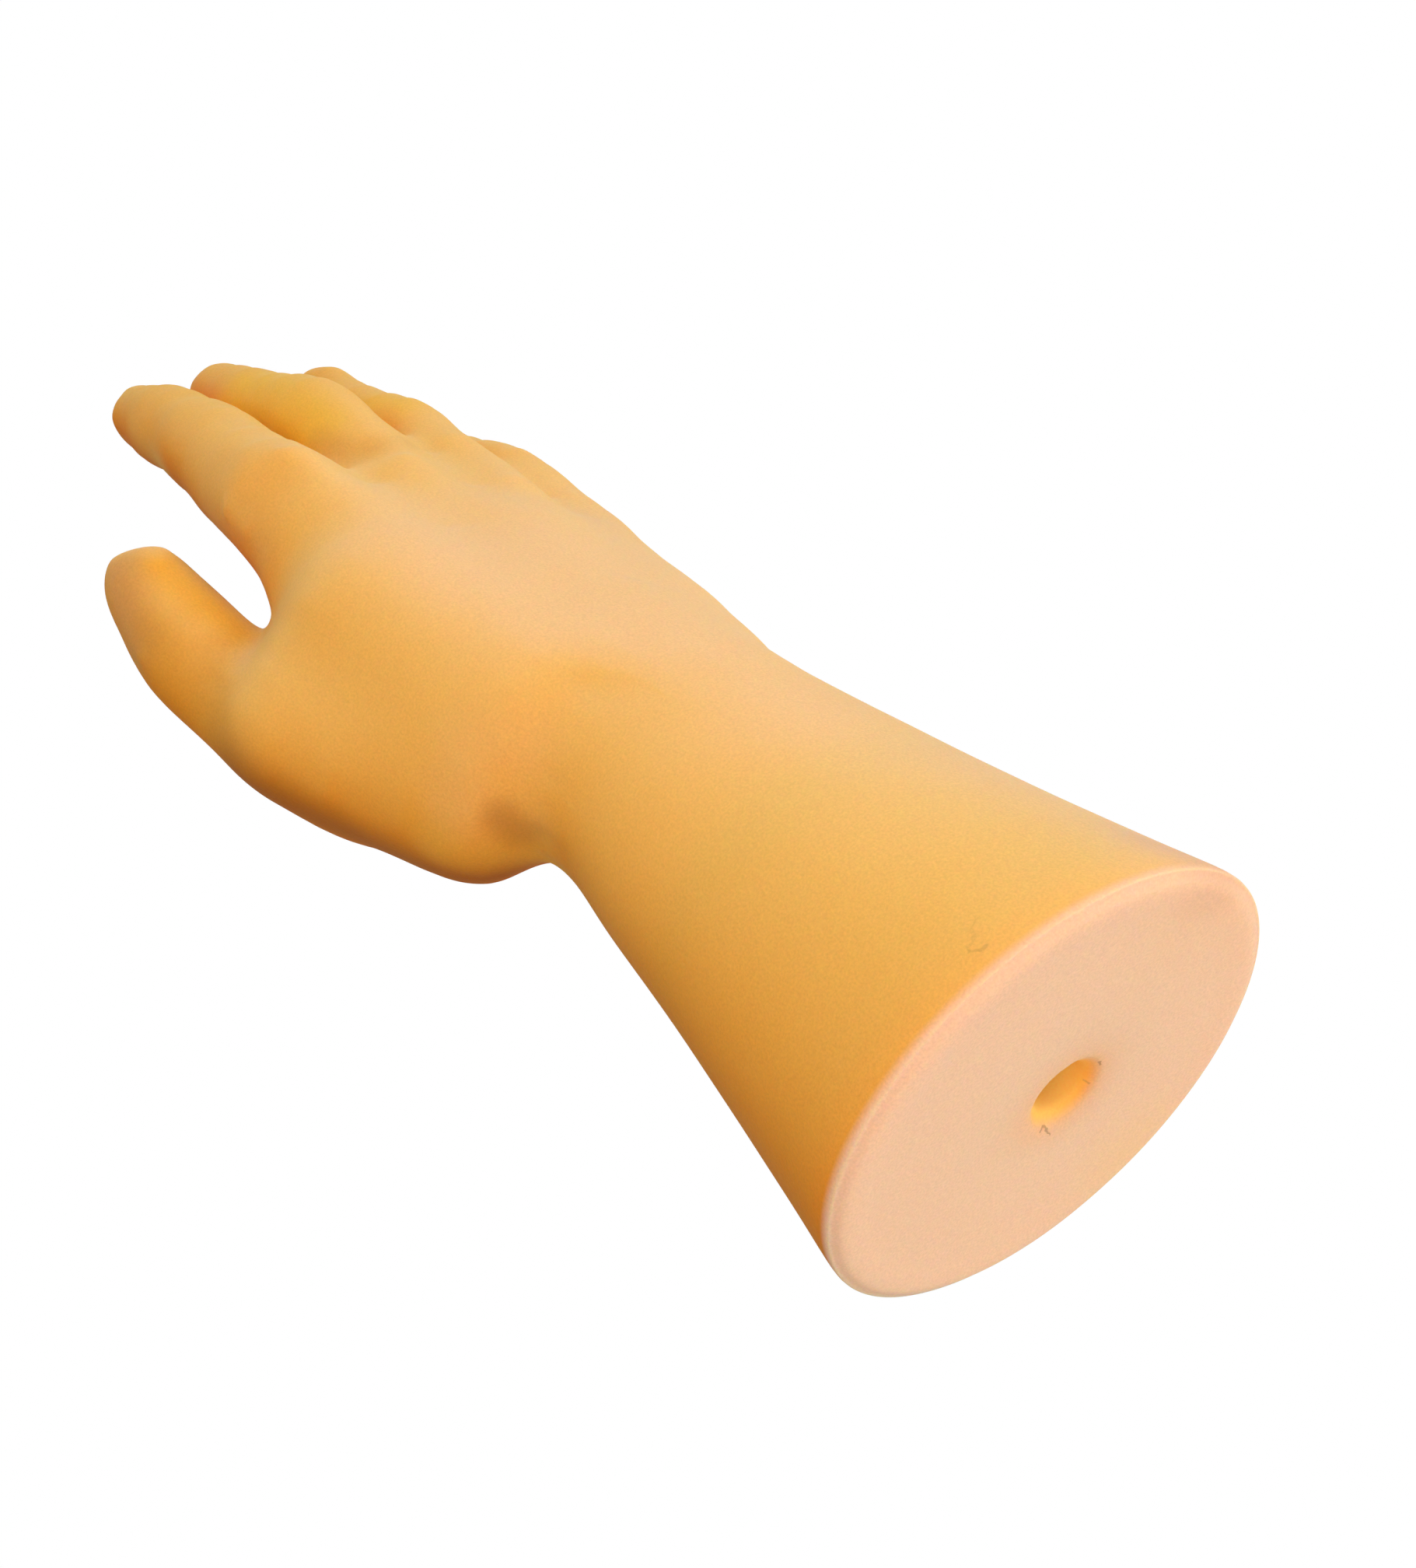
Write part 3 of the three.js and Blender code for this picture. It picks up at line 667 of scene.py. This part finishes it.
# how much of each point the marks cover, from its distance to their lines
def markShare(tree, place, split, wear):
    wobble = addNode(tree, "ShaderNodeTexNoise", (-12, 10), {"Vector": place}, wear["shakeNoise"])
    centred = addVectorMath(tree, (-11, 10), "SUBTRACT", wobble.outputs["Color"], (0.5, 0.5, 0.5))
    shaken = addVectorMath(tree, (-10, 10), "MULTIPLY_ADD", centred, (wear["shake"],) * 3, place)
    onFoot = addMath(tree, (-10, 9), "LESS_THAN", split.outputs["Z"], wear["footBelow"])
    onBack = addMath(tree, (-10, 8), "LESS_THAN", split.outputs["Y"], 0.0)
    total = None
    row = 10
    for mark in wear["marks"].values():
        flatten = (1, 1, 0) if mark["onFoot"] else (1, 0, 1)
        flat = addVectorMath(tree, (-9, row), "MULTIPLY", shaken, flatten)
        spots = [Vector((a, b, 0) if mark["onFoot"] else (a, 0, b)) for a, b in mark["path"]]
        for start, end in zip(spots, spots[1:]):
            along = end - start
            perLength = along / along.length_squared
            away = addVectorMath(tree, (-8, row), "SUBTRACT", flat, start)
            share = addVectorMath(tree, (-7, row), "DOT_PRODUCT", away, perLength)
            kept = addNode(tree, "ShaderNodeClamp", (-6, row), {"Value": share})
            nearest = addVectorMath(tree, (-5, row), "SCALE", along, None, None, kept.outputs[0])
            gap = addVectorMath(tree, (-4, row), "DISTANCE", away, nearest)
            line = addRange(tree, (-3, row), gap,
                            (mark["width"] * wear["core"], mark["width"], mark["cover"], 0.0))
            held = addMath(tree, (-2, row), "MULTIPLY", line, onFoot if mark["onFoot"] else onBack)
            if total is None:
                total = held
            else:
                total = addMath(tree, (-1, row), "MAXIMUM", total, held)
            row += 1
    return total


def makeVinyl(finish, wear):
    material = bpy.data.materials.new("softVinyl")
    material.use_nodes = True
    tree = material.node_tree
    tree.nodes.clear()
    coords = addNode(tree, "ShaderNodeTexCoord", (-8, 0))
    place = coords.outputs["Object"]
    normal = coords.outputs["Normal"]
    split = addNode(tree, "ShaderNodeSeparateXYZ", (-7, 3), {"Vector": place})
    height = split.outputs["Z"]
    drift = addNode(tree, "ShaderNodeTexNoise", (-7, 0), {"Vector": place}, finish["driftNoise"])
    stored = {
        name: addNode(tree, "ShaderNodeAttribute", (-6, row),
                      attribute_name=name, attribute_type="GEOMETRY")
        for row, name in enumerate(("hollow", "inside", "paint"), 7)
    }

    # painted light and shade: the colour is palest on the back of the hand and on faces turned up,
    # where the light falls, and deeper to the palm and on faces turned down, in shade; it deepens
    # as well to the fingers and the foot, with wide, soft drifts where the paste set thicker and
    # thinner
    facing = addVectorMath(tree, (-7, 1), "DOT_PRODUCT", normal, finish["toPalm"])
    facingIn = addVectorMath(tree, (-7, 2), "DOT_PRODUCT", normal, finish["intoPalm"])
    inPalm = addMath(tree, (-6, 5), "SUBTRACT", facingIn, finish["palmStart"])
    total = addMath(tree, (-6, 1), "MAXIMUM", facing, inPalm)
    parts = (
        addRange(tree, (-6, 0), drift.outputs["Fac"], finish["driftTint"], "LINEAR"),
        addRange(tree, (-6, 2), height, finish["fingerTint"]),
        addRange(tree, (-6, 4), height, finish["handTint"]),
        addRange(tree, (-6, 3), height, finish["footTint"]),
    )
    for row, part in enumerate(parts):
        total = addMath(tree, (-5, row), "ADD", total, part)
    tintShare = addRange(tree, (-4, 1), total, finish["tintSpan"], "LINEAR")
    tintAndShade = addNode(tree, "ShaderNodeValToRGB", (-3, 1), {"Fac": tintShare})
    stops = tintAndShade.color_ramp
    stops.interpolation = "B_SPLINE"
    while len(stops.elements) < len(finish["tintAndShade"]):
        stops.elements.new(0.5)
    for element, (position, colour) in zip(stops.elements, finish["tintAndShade"]):
        element.position = position
        element.color = colour

    # the foot is paler, fading out a few millimetres up its side
    paleShare = addRange(tree, (-4, 3), height, finish["paleRange"])
    colour = addLayer(tree, (-2, 1), paleShare, tintAndShade.outputs["Color"], finish["pale"])

    # painted shade and bounce light: the colour deepens where the walls face each other, and a
    # painted glow comes out there and in the vent
    hollowShadeShare = addRange(tree, (-4, 4), stored["hollow"].outputs["Fac"], finish["deepRange"])
    colour = addLayer(tree, (-1, 1), hollowShadeShare, colour, finish["deep"])
    insideGlow = addMath(tree, (-3, 5), "MULTIPLY",
                         stored["inside"].outputs["Fac"], finish["insideStrength"])
    glow = addMath(tree, (0, 4), "MULTIPLY_ADD", hollowShadeShare, finish["glowStrength"], insideGlow)

    # the brush strokes of painted light and shade go over that, and the marks of wear over all
    paint = stored["paint"]
    colour = addLayer(tree, (-1, 0), paint.outputs["Alpha"], colour, paint.outputs["Color"])
    wearShare = markShare(tree, place, split, wear)
    colour = addLayer(tree, (0, 0), wearShare, colour, wear["colour"])

    # fine grain: specks in the colour, and a satin bump
    grain = addNode(tree, "ShaderNodeTexNoise", (-5, 5), {"Vector": place}, finish["grainNoise"])
    speck = addRange(tree, (-4, 5), grain.outputs["Fac"], finish["grainRange"], "LINEAR")
    grained = addNode(tree, "ShaderNodeHueSaturation", (0, 1), {"Color": colour, "Value": speck})
    satin = addNode(tree, "ShaderNodeTexNoise", (-5, 6), {"Vector": place}, finish["satinNoise"])
    bump = addNode(tree, "ShaderNodeBump", (-1, 3), {"Height": satin.outputs["Fac"]},
                   finish["satinBump"])
    roughness = addRange(tree, (-1, 2), drift.outputs["Fac"], finish["roughness"], "LINEAR")

    shader = addNode(tree, "ShaderNodeBsdfPrincipled", (1, 1), {
        "Base Color": grained.outputs["Color"],
        "Roughness": roughness,
        "Normal": bump.outputs["Normal"],
        "Emission Strength": glow,
    }, {
        "Emission Color": finish["glow"],
        "Subsurface Weight": finish["scatter"],
        "Subsurface Radius": finish["scatterSpread"],
        "Subsurface Scale": finish["scatterReach"],
        "IOR": finish["refraction"],
        "Specular IOR Level": finish["shine"],
    })
    addNode(tree, "ShaderNodeOutputMaterial", (2, 1), {"Surface": shader.outputs["BSDF"]})
    return material


vinyl = makeVinyl(vinylFinish, wear)
skin.data.materials.clear()
skin.data.materials.append(vinyl)
frame["nodes"]["hand_moulding"].data.materials[0] = vinyl
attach(skin, "root")
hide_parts("hand_moulding")
report("vinyl finish")


# studio: a pale floor that shows from above only, soft lights and a white surround
studioSizes = {
    "floorSize": 4,
    "floorDrop": 0.0004,
    "floorColour": (0.86, 0.86, 0.85, 1),
    "surround": 0.357,  # how strongly the white surround lights the hand
    "aim": (0, 0, 0.12),
    "lights": {
        "keyLight": {"place": (-0.20, -0.376, -0.009), "size": 0.30, "power": 0.95},
        "handLight": {"place": (-0.29, -0.053, 0.966), "size": 0.60, "power": 1.2},
        "thumbLight": {"place": (-0.48, -0.213, -0.606), "size": 0.50, "power": 2.35},
        "footLight": {"place": (0.60, -0.10, -0.60), "size": 0.50, "power": 4.15},
        "highLight": {"place": (0.65, -0.60, 0.90), "size": 0.60, "power": 2.8},
        "wristLight": {"place": (0.25, -0.30, 0.16), "size": 0.20, "power": 0.265},
    },
}


# mixes two shaders by a share, and leads them to the tree's output
def mixToOutput(tree, share, first, second, output):
    mix = addNode(tree, "ShaderNodeMixShader", (0, 0), {0: share, 1: first, 2: second})
    addNode(tree, output, (1, 0), {"Surface": mix.outputs[0]})


def makeFloor(sizes):
    nothingSelected()
    bpy.ops.mesh.primitive_plane_add(size=sizes["floorSize"], location=(0, 0, -sizes["floorDrop"]))
    floor = bpy.context.object
    floor.name = "paleFloor"
    material = bpy.data.materials.new("paleFloor")
    material.use_nodes = True
    tree = material.node_tree
    tree.nodes.clear()
    side = addNode(tree, "ShaderNodeNewGeometry", (-2, 0))
    paint = addNode(tree, "ShaderNodeBsdfDiffuse", (-1, 1), None, {"Color": sizes["floorColour"]})
    clear = addNode(tree, "ShaderNodeBsdfTransparent", (-1, 2))
    mixToOutput(tree, side.outputs["Backfacing"], paint.outputs[0], clear.outputs[0],
                "ShaderNodeOutputMaterial")
    floor.data.materials.append(material)
    floor.visible_shadow = False
    floor.visible_diffuse = False
    floor.visible_glossy = False
    floor.visible_transmission = False
    return floor


def makeLight(name, sizes, aim):
    nothingSelected()
    spot = Vector(sizes["place"])
    turn = (Vector(aim) - spot).to_track_quat("-Z", "Y").to_euler()
    bpy.ops.object.light_add(type="AREA", location=spot, rotation=turn)
    light = bpy.context.object
    light.name = name
    light.data.shape = "DISK"
    light.data.size = sizes["size"]
    light.data.energy = sizes["power"]
    light.visible_camera = False


# white where the camera sees it, and weaker where it lights the hand
def makeSurround(strength):
    world = scene.world or bpy.data.worlds.new("surround")
    scene.world = world
    world.use_nodes = True
    tree = world.node_tree
    tree.nodes.clear()
    white = (1, 1, 1, 1)
    seen = addNode(tree, "ShaderNodeLightPath", (-2, 0))
    lit = addNode(tree, "ShaderNodeBackground", (-1, 1), None,
                  {"Color": white, "Strength": strength})
    shown = addNode(tree, "ShaderNodeBackground", (-1, 2), None,
                    {"Color": white, "Strength": 1.0})
    mixToOutput(tree, seen.outputs["Is Camera Ray"], lit.outputs[0], shown.outputs[0],
                "ShaderNodeOutputWorld")


floor = makeFloor(studioSizes)
for lightName, lightSizes in studioSizes["lights"].items():
    makeLight(lightName, lightSizes, studioSizes["aim"])
makeSurround(studioSizes["surround"])
scene.view_settings.view_transform = "Standard"
report("studio")
